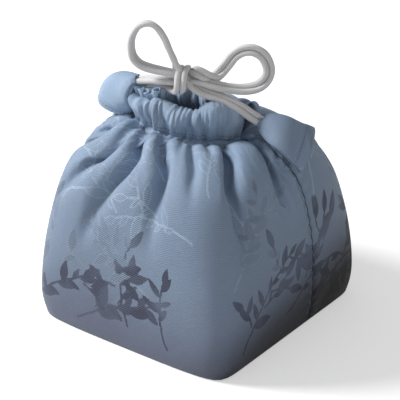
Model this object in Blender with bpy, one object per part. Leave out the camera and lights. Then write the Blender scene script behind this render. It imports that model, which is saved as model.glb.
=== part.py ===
"""A padded drawstring bag for a teapot: square base, gathered neck and two cords tied in a bow.

The base panel lies on the ground and the front and back panels stand on its rim. Their pleats
run up over a broad shoulder to an oval neck, where each panel is sewn to a casing that two cords
run through. Both ends of each cord leave the neck at one side, are tied in a bow over the mouth
and end in a fabric tab. Metres, +Z up, origin at the middle of the base's underside.
"""

import math

import bmesh
import bpy
import numpy as np

MM = 0.001
SEAM_GAP = 0.3 * MM

BASE_SIDE = 149.0 * MM
BASE_THICKNESS = 3.2 * MM
BASE_EDGE = 0.4 * MM
BASE_SQUARENESS = 15.5
CLOTH = 1.2 * MM
PADDING = 3.0 * MM
LINING_GAP = 0.8 * MM

BELLY_OUT = 4.7 * MM
BELLY_HEIGHT = 42.0 * MM
FLANK_OUT = 0.8 * MM
FLANK_HEIGHT = 90.0 * MM
SHOULDER_IN = 8.2 * MM
SHOULDER_HEIGHT = 118.0 * MM
CROWN_IN = 20.2 * MM
CROWN_HEIGHT = 130.0 * MM
CROWN_RISE = 4.0 * MM
SEAM_SHIFT = 20.0 * MM

NECK_CENTRE = (-5.0 * MM, -4.0 * MM)
NECK_TURN = math.radians(28.0)
NECK_LONG = 31.0 * MM
NECK_SHORT = 15.0 * MM
NECK_HEIGHT = 129.5 * MM
NECK_SLOPE = 0.132
PLEATS = 22
PLEAT_DEPTH = 2.0 * MM
PLEAT_START = 82.0 * MM

CASING_HEIGHT = 20.5 * MM
CASING_BULGE = 6.4 * MM
CASING_ROOT = 3.5 * MM
CASING_HEM = 2.4 * MM
ROOT_DEPTH = 7.2 * MM
CASING_PLEAT = 1.1 * MM
END_GAP = 10.0 * MM

CORD = 4.0 * MM
CORD_CLEARANCE = 0.4 * MM
CORD_LOW = 7.8 * MM
STRAND_GAP = 0.75 * MM
TUNNEL_CORNER = 1.3 * MM

COLUMNS_A_PLEAT = 4
CASING_COLUMNS_A_PLEAT = 3
CHANNEL_POINTS = 21
BASE_POINTS = 48
CORD_STEP = 12.0 * MM
CORD_TURN = math.radians(45.0)
CORD_SIDES = 2

# The bow lies in an upright plane. Its points give the place along the bow, towards the front
# and the height in millimetres, and then the way from one strand of the pair to the other.
BOW_TURN = math.radians(36.8)
KNOT_CENTRE = (-5.0, 3.0, 165.0)
KNOT_HALF = (11.5, 8.5, 8.5)
LEFT_LEAD = [
    (-37.0, -4.5, 144.2, 0, 1, 0), (-36.9, -4.4, 152.0, 0, 1, 0.1), (-33.2, -3.9, 158.3, 0, 1, 0.2),
    (-26.5, -2.7, 158.9, 0, 1, 0.3), (-19.0, -0.6, 158.4, 0, 1, 0.3), (-10.0, 1.5, 160.5, 0, 1, 0.3),
]
LEFT_LOOP = [
    (-8.5, 4.0, 167.0, 0, 1, 0), (-11.8, 3.9, 172.6, 0, 1, 0), (-15.0, 3.9, 178.8, 0, 1, 0.1),
    (-18.2, 3.4, 186.3, 0.2, 1, 0.1), (-21.4, 2.6, 194.2, 0.3, 1, 0.1), (-25.8, 1.6, 200.8, 0.3, 1, 0.2),
    (-31.4, 0.6, 203.8, 0.1, 1, 0.3), (-37.7, 0.0, 201.5, -0.2, 1, 0.2), (-41.8, 0.0, 194.8, -0.3, 1, 0.1),
    (-42.8, 0.2, 187.3, -0.3, 1, 0), (-41.4, 1.0, 180.5, -0.3, 1, -0.2), (-36.8, 2.0, 175.8, -0.1, 1, -0.2),
    (-30.0, 3.0, 173.4, 0, 1, -0.2), (-22.5, 4.0, 172.0, 0, 1, -0.1), (-16.1, 4.3, 170.6, 0, 1, 0),
    (-8.0, 4.3, 168.0, 0, 1, 0),
]
RIGHT_TAIL = [
    (-3.0, 8.0, 161.4, 0.1, -1, 0.36), (4.0, 9.9, 159.5, 0.1, -1, 0.36), (11.5, 10.9, 156.9, 0.2, -1, 0.36),
    (19.8, 12.0, 153.9, 0.3, -1, 0.5), (27.4, 13.0, 149.9, 0.4, -1, 0.7), (33.6, 12.9, 145.2, 0.5, -1, 0.9),
    (38.0, 12.8, 142.0, 0.5, -1, 0.9),
]
RIGHT_LEAD = [
    (28.7, 5.6, 134.0, 0, 1, 0), (28.9, 5.4, 141.0, 0, 1, 0), (27.0, 4.4, 146.6, 0, 1, 0.2),
    (21.0, 2.4, 151.4, 0, 1, 0.3), (12.5, 0.2, 155.6, 0, 1, 0.2), (3.0, 0.4, 159.6, 0, 1, 0.1),
]
RIGHT_LOOP = [
    (1.0, -0.5, 165.5, 0.3, 1, -0.8), (5.5, -2.4, 165.2, 0.4, 0.8, -0.8), (10.5, -2.8, 166.0, 0.6, 0.6, -0.8),
    (15.2, -2.0, 169.6, 0.8, 0.3, -0.6), (18.9, -1.0, 175.0, 0.8, 0.2, -0.6), (22.6, 0.0, 180.7, 0.7, 0.2, -0.8),
    (28.2, 1.0, 184.9, 0.3, 0.2, -1.0), (35.0, 2.0, 185.8, -0.2, 0.2, -1.0), (41.3, 3.0, 182.4, -0.7, 0.2, -0.7),
    (44.6, 4.0, 176.2, -1.0, 0.3, -0.2), (45.0, 5.0, 170.6, -1.0, 0.2, 0.4), (42.2, 6.0, 165.4, -0.7, -0.2, 0.8),
    (36.8, 6.6, 161.9, -0.3, -0.6, 0.8), (28.6, 7.0, 160.6, -0.1, -0.9, 0.6), (19.0, 7.3, 161.6, 0.1, -1, 0.36),
    (9.4, 7.0, 163.8, 0.1, -1, 0.36), (4.0, 6.6, 165.6, 0.1, -1, 0.36), (0.0, 6.0, 166.8, 0.1, -1, 0.36),
]
LEFT_TAIL = [
    (-9.0, 3.5, 164.0, 0, 1, 0), (-16.1, 3.2, 164.6, 0, 1, 0), (-22.6, 2.0, 164.3, 0, 1, 0),
    (-29.2, -0.8, 163.7, 0, 1, 0), (-34.4, -3.4, 162.6, 0, 1, 0), (-37.9, -4.8, 161.6, 0, 1, 0),
]

# A tab's stations run from the cords to its open end: the place of the middle, the way across
# it, half its width and half its thickness, in the bow's own millimetres.
RIGHT_TAB = [
    (38.7, 12.8, 141.6, -0.2, 0.8, -0.6, 4.8, 2.8), (41.8, 13.2, 140.0, -0.2, 0.8, -0.6, 6.2, 3.2),
    (47.0, 19.0, 140.4, -0.2, 0.8, -0.6, 9.6, 3.8), (55.0, 24.5, 138.0, -0.2, 0.84, -0.54, 12.8, 4.0),
    (64.0, 25.5, 131.8, -0.2, 0.84, -0.52, 15.0, 4.2), (71.0, 23.0, 126.0, -0.2, 0.84, -0.51, 16.5, 4.6),
]
LEFT_TAB = [
    (-38.4, -5.0, 161.4, 0, 1, 0.1, 4.8, 3.4), (-42.0, -6.4, 160.4, 0.2, 1, 0.2, 8.0, 4.6),
    (-47.2, -9.2, 157.6, 0.6, 1, 0.5, 11.4, 6.0), (-52.2, -12.4, 154.2, 1, 1, 0.5, 13.2, 7.0),
    (-54.8, -15.0, 149.8, 1, 0.8, 0.5, 13.4, 7.2), (-55.8, -17.0, 145.6, 1, 0.6, 0.5, 13.0, 6.8),
    (-56.2, -18.6, 141.6, 1, 0.5, 0.5, 12.6, 6.0),
]
TAB_SIDES = 14
TAB_WALL = 2.1
TAB_POCKET = 0.45


def clear_scene():
    for obj in list(bpy.data.objects):
        bpy.data.objects.remove(obj, do_unlink=True)


def make_collection(name):
    collection = bpy.data.collections.new(name)
    bpy.context.scene.collection.children.link(collection)
    return collection


def make_material(name, colour, roughness, metallic=0.0):
    material = bpy.data.materials.new(name)
    material.use_nodes = True
    shader = material.node_tree.nodes["Principled BSDF"]
    shader.inputs["Base Color"].default_value = (*colour, 1.0)
    shader.inputs["Roughness"].default_value = roughness
    shader.inputs["Metallic"].default_value = metallic
    return material


def make_object(name, points, faces, material):
    """One closed object from a loft's points and faces, its normals facing out."""
    mesh = bpy.data.meshes.new(name)
    mesh.from_pydata([tuple(point) for point in points], [], faces)
    shell = bmesh.new()
    shell.from_mesh(mesh)
    bmesh.ops.recalc_face_normals(shell, faces=shell.faces)
    shell.to_mesh(mesh)
    shell.free()
    mesh.shade_smooth()
    mesh.set_sharp_from_angle(angle=math.radians(50))
    mesh.materials.append(material)
    obj = bpy.data.objects.new(name, mesh)
    PARTS.objects.link(obj)
    return obj


def grid_faces(rows, columns, start=0, wrapped=False):
    """Quads over a grid of points numbered row by row from start."""
    faces = []
    for row in range(rows - 1):
        for column in range(columns if wrapped else columns - 1):
            following = (column + 1) % columns
            low = start + row * columns
            faces.append((low + column, low + following, low + columns + following, low + columns + column))
    return faces


def smooth_curve(points, steps=12):
    """A curve through every point, with the number of steps between each two."""
    points = np.asarray(points, float)
    padded = np.vstack([2 * points[0] - points[1], points, 2 * points[-1] - points[-2]])
    share = (np.arange(steps) / steps)[:, None]
    runs = []
    for before, here, after, beyond in zip(padded, padded[1:], padded[2:], padded[3:]):
        slope = after - before
        bend = 2 * before - 5 * here + 4 * after - beyond
        twist = 3 * here - before - 3 * after + beyond
        runs.append(here + 0.5 * (slope * share + bend * share**2 + twist * share**3))
    return np.vstack(runs + [points[-1:]])


def even_angles(outline, shares, first):
    """The angles at which these shares of the outline's length, counted from first, are reached."""
    angles = first - np.linspace(0, 2 * math.pi, 1441)
    ring = outline(angles)
    lengths = np.concatenate([[0], np.cumsum(np.linalg.norm(np.diff(ring, axis=0), axis=1))])
    return np.interp(shares * lengths[-1], lengths, angles)


def square_radius(angles, half, squareness):
    cosines = np.abs(np.cos(angles)) ** squareness
    sines = np.abs(np.sin(angles)) ** squareness
    return half / (cosines + sines) ** (1 / squareness)


def base_outline(angles, inset=0.0):
    radius = square_radius(angles, BASE_SIDE / 2 - inset, BASE_SQUARENESS)
    return np.stack([radius * np.cos(angles), radius * np.sin(angles)], axis=-1)


def neck_outline(angles, outside=0.0):
    """The neck's oval, this far outside the middle of its cords."""
    turned = angles - NECK_TURN
    along = NECK_LONG * np.cos(turned)
    across = NECK_SHORT * np.sin(turned)
    normal = np.stack([NECK_SHORT * np.cos(turned), NECK_LONG * np.sin(turned)], axis=-1)
    normal /= np.linalg.norm(normal, axis=-1, keepdims=True)
    along = along + outside * normal[..., 0]
    across = across + outside * normal[..., 1]
    x = NECK_CENTRE[0] + along * math.cos(NECK_TURN) - across * math.sin(NECK_TURN)
    y = NECK_CENTRE[1] + along * math.sin(NECK_TURN) + across * math.cos(NECK_TURN)
    return np.stack([x, y], axis=-1)


def neck_length():
    """The way round the neck along the middle of its cords."""
    ring = neck_outline(np.linspace(0, 2 * math.pi, 721))
    return np.linalg.norm(np.diff(ring, axis=0), axis=1).sum()


def neck_height(places):
    """The stitch line's height: it slopes down along the neck's long axis."""
    along = (places[..., 0] - NECK_CENTRE[0]) * math.cos(NECK_TURN)
    along = along + (places[..., 1] - NECK_CENTRE[1]) * math.sin(NECK_TURN)
    return NECK_HEIGHT - NECK_SLOPE * along


def wall_rows():
    """The wall's profile from the base to the crown: height, half width and squareness."""
    half = BASE_SIDE / 2
    foot = BASE_THICKNESS + SEAM_GAP
    belly = half + BELLY_OUT
    return [
        (foot, half, BASE_SQUARENESS),
        (foot + 0.3 * (BELLY_HEIGHT - foot), half + 0.78 * BELLY_OUT, 14.0),
        (BELLY_HEIGHT, belly, 8.4),
        ((BELLY_HEIGHT + FLANK_HEIGHT) / 2, belly - 0.2 * (BELLY_OUT - FLANK_OUT), 6.0),
        (FLANK_HEIGHT, half + FLANK_OUT, 4.9),
        ((FLANK_HEIGHT + SHOULDER_HEIGHT) / 2, half - 0.35 * SHOULDER_IN, 4.2),
        (SHOULDER_HEIGHT, half - SHOULDER_IN, 3.6),
        (CROWN_HEIGHT, half - CROWN_IN, 2.5),
    ]


def smooth_wall(shares):
    """The wall's middle surface without its pleats, one row of points from each height."""
    seam_angle = math.atan2(SEAM_SHIFT, BASE_SIDE / 2)
    base_angles = even_angles(base_outline, shares, seam_angle)
    neck_angles = even_angles(neck_outline, shares, NECK_TURN)
    neck_gap = CASING_ROOT + SEAM_GAP
    neck = neck_outline(neck_angles, neck_gap)
    neck = np.column_stack([neck, neck_height(neck)])
    rows = []
    for height, half, squareness in wall_rows():
        rise = max(0.0, (height - BELLY_HEIGHT) / (CROWN_HEIGHT - BELLY_HEIGHT))
        angles = base_angles + rise**3 * (neck_angles - base_angles)
        radius = square_radius(angles, half, squareness)
        x = radius * np.cos(angles) + rise**3 * NECK_CENTRE[0] / 2
        y = radius * np.sin(angles) + rise**3 * NECK_CENTRE[1] / 2
        rows.append(np.column_stack([x, y, np.full_like(x, height)]))
    crown = rows[-1]
    for way in (0.3, 0.62, 0.86, 1.0):
        row = crown + way * (neck - crown)
        row[:, 2] += CROWN_RISE * math.sin(math.pi * way)
        rows.append(row)
    return np.array(rows)


def outward(surface, wrapped=False):
    """The unit normals of a grid of points whose columns run clockwise."""
    if wrapped:
        along = np.roll(surface, -1, axis=1) - np.roll(surface, 1, axis=1)
    else:
        along = np.gradient(surface, axis=1)
    normal = np.cross(np.gradient(surface, axis=0), along)
    return normal / np.linalg.norm(normal, axis=2, keepdims=True)


def pleat_wave(shares):
    """The pleats around the neck, from -1 in a valley to 1 on a crest, each a little unlike the next."""
    turns = shares * PLEATS
    strength = 0.78 + 0.22 * np.sin(2.4 * np.floor(turns) + 0.7)
    return -np.cos(2 * math.pi * turns) * strength


def pleat_depths(surface):
    """How deep the pleats are at each point: none on the belly, full at the neck."""
    rise = np.clip((surface[..., 2] - PLEAT_START) / (CROWN_HEIGHT - PLEAT_START), 0, 1)
    return PLEAT_DEPTH * rise * rise * (3 - 2 * rise)


def slab(name, outer, inner, material):
    """A closed slab between two grids of points of the same size."""
    rows, columns = outer.shape[:2]
    count = rows * columns
    faces = grid_faces(rows, columns)
    faces += [tuple(reversed(face)) for face in grid_faces(rows, columns, count)]
    rim = list(range(columns))
    rim += [row * columns + columns - 1 for row in range(1, rows)]
    rim += [(rows - 1) * columns + column for column in range(columns - 2, -1, -1)]
    rim += [row * columns for row in range(rows - 2, 0, -1)]
    for here, after in zip(rim, rim[1:] + rim[:1]):
        faces.append((after, here, here + count, after + count))
    points = np.vstack([outer.reshape(-1, 3), inner.reshape(-1, 3)])
    return make_object(name, points, faces, material)


def make_panel(name, first):
    """A front or back panel: half of the wall, pleated towards the neck."""
    columns = PLEATS // 2 * COLUMNS_A_PLEAT + 1
    shares = first + np.linspace(0, 0.5, columns)
    edge = SEAM_GAP / 2 / neck_length()
    shares[0] += edge
    shares[-1] -= edge
    surface = smooth_wall(shares)
    normal = outward(surface)
    normal[-1] = (0.0, 0.0, 1.0)
    depth = (pleat_depths(surface) * pleat_wave(shares))[..., None]
    outer = surface + normal * depth
    return slab(name, outer, outer - normal * CLOTH, OUTER_CLOTH)


def make_lining():
    """The padded lining: a cup inside the panels, its rim just under the neck's stitching."""
    wall_columns = PLEATS * COLUMNS_A_PLEAT
    surface = smooth_wall(np.arange(wall_columns) / wall_columns)
    normal = outward(surface, wrapped=True)[:-1, ::2]
    surface = surface[:-1, ::2]
    columns = surface.shape[1]
    depth = (CLOTH + LINING_GAP + pleat_depths(surface))[..., None]
    outer = surface - normal * depth
    inner = outer - normal * PADDING
    outer[0, :, 2] = surface[0, :, 2]
    floor = surface[0, 0, 2] + PADDING
    inner[0, :, 2] = floor
    rows = np.vstack([outer.reshape(-1, 3), inner[::-1].reshape(-1, 3)])
    count = 2 * len(surface)
    faces = grid_faces(count, columns, wrapped=True)
    last = (count - 1) * columns
    faces.append(tuple(range(columns)))
    faces.append(tuple(range(last + columns - 1, last - 1, -1)))
    return make_object("padded_lining", rows, faces, LINING_CLOTH)


def make_base():
    """The square base panel, two cloths on a stiff pad, with a narrow rounded edge."""
    angles = even_angles(base_outline, np.arange(BASE_POINTS) / BASE_POINTS, math.pi / 4)
    rings = []
    steps = ((BASE_EDGE, 0.0), (0.0, BASE_EDGE), (0.0, BASE_THICKNESS - BASE_EDGE), (BASE_EDGE, BASE_THICKNESS))
    for inset, height in steps:
        rings.append(np.column_stack([base_outline(angles, inset), np.full(len(angles), height)]))
    columns = len(angles)
    faces = grid_faces(len(rings), columns, wrapped=True)
    last = (len(rings) - 1) * columns
    faces.append(tuple(range(columns)))
    faces.append(tuple(range(last + columns - 1, last - 1, -1)))
    return make_object("base_panel", np.vstack(rings), faces, OUTER_CLOTH)


def tunnel_half():
    return CORD / 2 + CORD_CLEARANCE


def cord_heights():
    """The two cords' heights above the stitch line, one over the other."""
    return CORD_LOW, CORD_LOW + CORD + SEAM_GAP


def casing_section():
    """The casing's outer outline, how much each point follows the pleats, and its tunnel."""
    top = CASING_HEIGHT
    half = tunnel_half()
    low = cord_heights()[0] - half
    high = cord_heights()[1] + half
    outer = [
        (CASING_ROOT, -ROOT_DEPTH, 0), (CASING_ROOT, 0.22 * top, 0), (CASING_BULGE, 0.46 * top, 1),
        (CASING_BULGE, 0.74 * top, 1), (CASING_HEM, top, 1),
    ]
    outer += [(-out, height, -moved) for out, height, moved in reversed(outer)]
    cut = TUNNEL_CORNER
    tunnel = [
        (half, low + cut), (half, high - cut), (0, high + cut), (-half, high - cut), (-half, low + cut),
        (0, low - cut),
    ]
    return outer, tunnel


def make_casing(name, first):
    """Half of the neck's casing: a pleated sleeve with a tunnel for the two cords."""
    columns = PLEATS // 2 * CASING_COLUMNS_A_PLEAT + 1
    edge = END_GAP / 2 / neck_length()
    shares = first + np.linspace(edge, 0.5 - edge, columns)
    angles = even_angles(neck_outline, shares, NECK_TURN)
    wave = pleat_wave(shares)
    section, tunnel = casing_section()
    loops = []
    for out, height, moved in section + [(out, height, 0) for out, height in tunnel]:
        place = neck_outline(angles, 0.0)
        foot = neck_height(place)
        shift = (out + moved * CASING_PLEAT * wave)[:, None] * (neck_outline(angles, 1.0) - place)
        lift = height + abs(moved) * 0.6 * CASING_PLEAT * wave
        loops.append(np.column_stack([place + shift, foot + lift]))
    outside = len(section)
    points = np.vstack(loops)
    faces = []
    for low, size in ((0, outside), (outside, len(tunnel))):
        for step in range(size):
            here = (low + step) * columns
            after = (low + (step + 1) % size) * columns
            for column in range(columns - 1):
                face = (here + column, here + column + 1, after + column + 1, after + column)
                faces.append(face if low == 0 else tuple(reversed(face)))
    for column in (0, columns - 1):
        faces += sleeve_end(column, columns, outside, len(tunnel))
    return make_object(name, points, faces, OUTER_CLOTH)


def sleeve_end(column, columns, outside, inside):
    """The faces that close a sleeve's end between its outline and its tunnel."""
    partner = [round(step * inside / outside) % inside for step in range(outside)]
    faces = []
    for step in range(outside):
        after = (step + 1) % outside
        corner = (outside + partner[step]) * columns + column
        following = (outside + partner[after]) * columns + column
        face = [step * columns + column, after * columns + column, following]
        if corner != following:
            face.append(corner)
        faces.append(tuple(face if column else reversed(face)))
    return faces


def make_tube(name, points, material, diameter=CORD):
    """A round cord along these points, closed at both ends."""
    curve = bpy.data.curves.new(name, "CURVE")
    curve.dimensions = "3D"
    spline = curve.splines.new("POLY")
    spline.points.add(len(points) - 1)
    for spline_point, point in zip(spline.points, points):
        spline_point.co = (*point, 1.0)
    curve.bevel_depth = diameter / 2
    curve.bevel_resolution = CORD_SIDES
    curve.use_fill_caps = True
    curve.materials.append(material)
    obj = bpy.data.objects.new(name, curve)
    PARTS.objects.link(obj)
    return obj


def make_channel_cord(name, height, first):
    """The part of a cord that runs round the neck inside both casings."""
    edge = END_GAP / 2 / neck_length()
    angles = even_angles(neck_outline, (first + np.linspace(edge, 1 - edge, CHANNEL_POINTS)) % 1, NECK_TURN)
    places = neck_outline(angles)
    return make_tube(name, np.column_stack([places, neck_height(places) + height]), CORD_YARN)


def bow_to_world(places):
    """From the bow's own millimetres to metres in the bag's frame."""
    along, front, height = np.moveaxis(np.asarray(places, float), -1, 0) * MM
    x = along * math.cos(BOW_TURN) + front * math.sin(BOW_TURN)
    y = along * math.sin(BOW_TURN) - front * math.cos(BOW_TURN)
    return np.stack([x, y, height], axis=-1)


def outside_knot(places, directions):
    """True where a cord's end face of this direction would clear the knot by the seam gap."""
    first = np.cross(directions, (0.0, 0.0, 1.0))
    first /= np.linalg.norm(first, axis=1, keepdims=True)
    second = np.cross(directions, first)
    grown = np.array(KNOT_HALF) + SEAM_GAP / MM
    clear = np.ones(len(places), bool)
    for turn in np.linspace(0, 2 * math.pi, 12, endpoint=False):
        rim = places + CORD / MM / 2 * (first * math.cos(turn) + second * math.sin(turn))
        clear &= (((rim - KNOT_CENTRE) / grown) ** 2).sum(axis=1) > 1
    return clear


def spaced(places):
    """Fewer points of a dense curve: one after each step of length or of turning."""
    runs = np.diff(places, axis=0)
    lengths = np.linalg.norm(runs, axis=1)
    ways = runs / lengths[:, None]
    turns = np.arccos(np.clip((ways[1:] * ways[:-1]).sum(axis=1), -1, 1))
    effort = np.maximum(lengths / (CORD_STEP / MM), np.concatenate([[0], turns]) / CORD_TURN)
    travelled = np.concatenate([[0], np.cumsum(effort)])
    count = max(3, math.ceil(travelled[-1]) + 1)
    shares = np.linspace(0, travelled[-1], count)
    return np.column_stack([np.interp(shares, travelled, places[:, axis]) for axis in range(3)])


def make_strands(name, route):
    """Both strands of a pair along its route, left out where they pass through the knot."""
    curve = smooth_curve(route)
    middle, spread = curve[:, :3], curve[:, 3:]
    directions = np.gradient(middle, axis=0)
    directions /= np.linalg.norm(directions, axis=1, keepdims=True)
    spread = spread - (spread * directions).sum(axis=1, keepdims=True) * directions
    spread /= np.linalg.norm(spread, axis=1, keepdims=True)
    apart = (CORD + STRAND_GAP) / 2 / MM
    for side, sign in (("front", 1), ("back", -1)):
        places = middle + sign * apart * spread
        clear = np.flatnonzero(outside_knot(places, directions))
        free = places[clear[0] : clear[-1] + 1]
        make_tube(f"{name}_{side}", bow_to_world(spaced(free)), CORD_YARN)


def make_knot():
    """The outer shape of the bow's knot."""
    knot = bmesh.new()
    bmesh.ops.create_uvsphere(knot, u_segments=12, v_segments=8, radius=1.0)
    points = np.array([vertex.co for vertex in knot.verts])
    faces = [tuple(vertex.index for vertex in face.verts) for face in knot.faces]
    knot.free()
    places = points * KNOT_HALF + KNOT_CENTRE
    return make_object("bow_knot", bow_to_world(places), faces, CORD_YARN)


def make_tab(name, stations):
    """A fabric tab gathered onto the cords' ends, with an open pocket at its wide end."""
    stations = smooth_curve(stations, 2)
    middle, across, size = stations[:, :3], stations[:, 3:6], stations[:, 6:]
    directions = np.gradient(middle, axis=0)
    directions /= np.linalg.norm(directions, axis=1, keepdims=True)
    across = across - (across * directions).sum(axis=1, keepdims=True) * directions
    across /= np.linalg.norm(across, axis=1, keepdims=True)
    through = np.cross(directions, across)
    turns = np.arange(TAB_SIDES) * 2 * math.pi / TAB_SIDES
    rings = []
    for step, inset in tab_walls(len(stations)):
        wide, deep = size[step] - inset
        ring = middle[step] + np.outer(np.cos(turns) * wide, across[step])
        rings.append(ring + np.outer(np.sin(turns) * deep, through[step]))
    faces = grid_faces(len(rings), TAB_SIDES, wrapped=True)
    last = (len(rings) - 1) * TAB_SIDES
    faces.append(tuple(range(TAB_SIDES)))
    faces.append(tuple(range(last + TAB_SIDES - 1, last - 1, -1)))
    return make_object(name, bow_to_world(np.vstack(rings)), faces, OUTER_CLOTH)


def tab_walls(count):
    """The order of a tab's rings and their inset: along its outside, then down into its pocket."""
    outside = [(step, 0.0) for step in range(count)]
    bottom = round((1 - TAB_POCKET) * (count - 1))
    return outside + [(step, TAB_WALL) for step in range(count - 1, bottom - 1, -1)]


clear_scene()
PARTS = make_collection("drawstring_teapot_bag")
OUTER_CLOTH = make_material("grey_blue_jacquard", (0.17, 0.23, 0.31), 0.75)
LINING_CLOTH = make_material("quilted_lining", (0.14, 0.18, 0.24), 0.9)
CORD_YARN = make_material("pale_braided_cord", (0.66, 0.66, 0.67), 0.7)

make_base()
make_panel("front_panel", 0.0)
make_panel("back_panel", 0.5)
make_lining()
make_casing("front_casing", 0.0)
make_casing("back_casing", 0.5)
make_channel_cord("right_channel_cord", cord_heights()[0], 0.0)
make_channel_cord("left_channel_cord", cord_heights()[1], 0.5)
make_knot()
make_strands("left_lead", LEFT_LEAD)
make_strands("left_loop", LEFT_LOOP)
make_strands("left_tail", LEFT_TAIL)
make_strands("right_lead", RIGHT_LEAD)
make_strands("right_loop", RIGHT_LOOP)
make_strands("right_tail", RIGHT_TAIL)
make_tab("left_tab", LEFT_TAB)
make_tab("right_tab", RIGHT_TAB)
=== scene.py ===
"""The drawstring teapot bag: jacquard panels gathered on two braided cords over a padded lining."""
import math

import bpy
import numpy as np
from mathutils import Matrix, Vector


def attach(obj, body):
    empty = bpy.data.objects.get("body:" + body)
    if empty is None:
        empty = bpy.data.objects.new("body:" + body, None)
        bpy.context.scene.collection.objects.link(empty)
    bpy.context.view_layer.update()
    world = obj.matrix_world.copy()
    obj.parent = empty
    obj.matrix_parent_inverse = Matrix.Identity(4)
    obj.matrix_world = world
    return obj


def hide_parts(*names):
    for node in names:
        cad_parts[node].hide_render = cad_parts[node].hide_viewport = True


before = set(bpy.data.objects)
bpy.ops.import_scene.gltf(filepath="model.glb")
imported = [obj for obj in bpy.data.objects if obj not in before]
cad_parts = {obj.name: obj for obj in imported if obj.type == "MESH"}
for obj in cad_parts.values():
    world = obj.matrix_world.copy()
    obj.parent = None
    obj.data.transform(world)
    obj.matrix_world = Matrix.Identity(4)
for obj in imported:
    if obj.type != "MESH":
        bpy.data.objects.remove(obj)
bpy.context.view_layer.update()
MM = 0.001


# The wall: front and back panel, cut from one grey-blue jacquard and sewn at two side seams into a
# tube, which is sewn to the square base and gathered into the neck. Here the tube is a grid of
# points: columns run round the bag from one side seam, rows run up it. Sizes are in millimetres.
COLUMNS, WALL_ROWS, CASING_ROWS = 264, 76, 9
CLOTH_ROUND, CLOTH_HEIGHT = 604.0, 175.0
BASE_SIDE, BASE_SQUARENESS = 149.0, 15.5


def even_angles(outline, shares, first):
    """The angles at which these shares of an outline's length, counted from first, are reached."""
    angles = first - np.linspace(0, 2 * math.pi, 1441)
    lengths = np.concatenate([[0], np.cumsum(np.linalg.norm(np.diff(outline(angles), axis=0), axis=1))])
    return np.interp(shares * lengths[-1], lengths, angles)


def square_radius(angles, half, squareness):
    corners = np.abs(np.cos(angles)) ** squareness + np.abs(np.sin(angles)) ** squareness
    return half / corners ** (1 / squareness)


def base_outline(angles, inset=0.0):
    radius = square_radius(angles, BASE_SIDE / 2 - inset, BASE_SQUARENESS)
    return np.stack([radius * np.cos(angles), radius * np.sin(angles)], axis=-1)


# The neck is an oval that slopes down to the right: half its length and width, height and slope.
NECK_CENTRE, NECK_TURN = (-5.0, -4.0), math.radians(28.0)
NECK_LONG, NECK_SHORT, NECK_HEIGHT, NECK_SLOPE = 31.0, 15.0, 129.5, 0.132


def neck_outline(angles, outside=0.0):
    """The neck's oval in millimetres, this far outside the middle of its cords."""
    turned = angles - NECK_TURN
    along, across = NECK_LONG * np.cos(turned), NECK_SHORT * np.sin(turned)
    normal = np.stack([NECK_SHORT * np.cos(turned), NECK_LONG * np.sin(turned)], axis=-1)
    normal /= np.linalg.norm(normal, axis=-1, keepdims=True)
    along, across = along + outside * normal[..., 0], across + outside * normal[..., 1]
    x = NECK_CENTRE[0] + along * math.cos(NECK_TURN) - across * math.sin(NECK_TURN)
    y = NECK_CENTRE[1] + along * math.sin(NECK_TURN) + across * math.cos(NECK_TURN)
    return np.stack([x, y], axis=-1)


def neck_height(places):
    along = (places[..., 0] - NECK_CENTRE[0]) * math.cos(NECK_TURN)
    along = along + (places[..., 1] - NECK_CENTRE[1]) * math.sin(NECK_TURN)
    return NECK_HEIGHT - NECK_SLOPE * along


# The front's lower edge bows out by this much at the floor, and not at all at this height.
FRONT_BOW, FRONT_BOW_HEIGHT = 3.8, 50.0


def front_bow(across, height):
    """How far the front's lower edge bows out of the square."""
    inside = np.clip(1 - (across / (BASE_SIDE / 2)) ** 4, 0, 1)
    return FRONT_BOW * inside * max(0.0, 1 - height / FRONT_BOW_HEIGHT)


# The wall's cross-sections: height, half the width, and how square the section is. Above the belly
# they turn towards the neck, and the crown arches up a little before the gathering stitch. The
# side seam meets the base this far from the middle of its side.
WALL_PROFILE = [
    (0.7, 75.0, 16.0), (15.0, 78.0, 14.0), (42.0, 79.0, 8.4), (66.0, 78.2, 6.0), (89.0, 75.2, 4.9),
    (104.0, 71.6, 4.2), (118.0, 66.2, 3.6), (129.5, 54.0, 2.5),
]
BELLY_HEIGHT, CROWN_HEIGHT, CROWN_RISE = 42.0, 130.0, 4.0
SEAM_SHIFT = 20.0
STITCH_OUT, STITCH_UP = 4.6, 2.6


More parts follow.
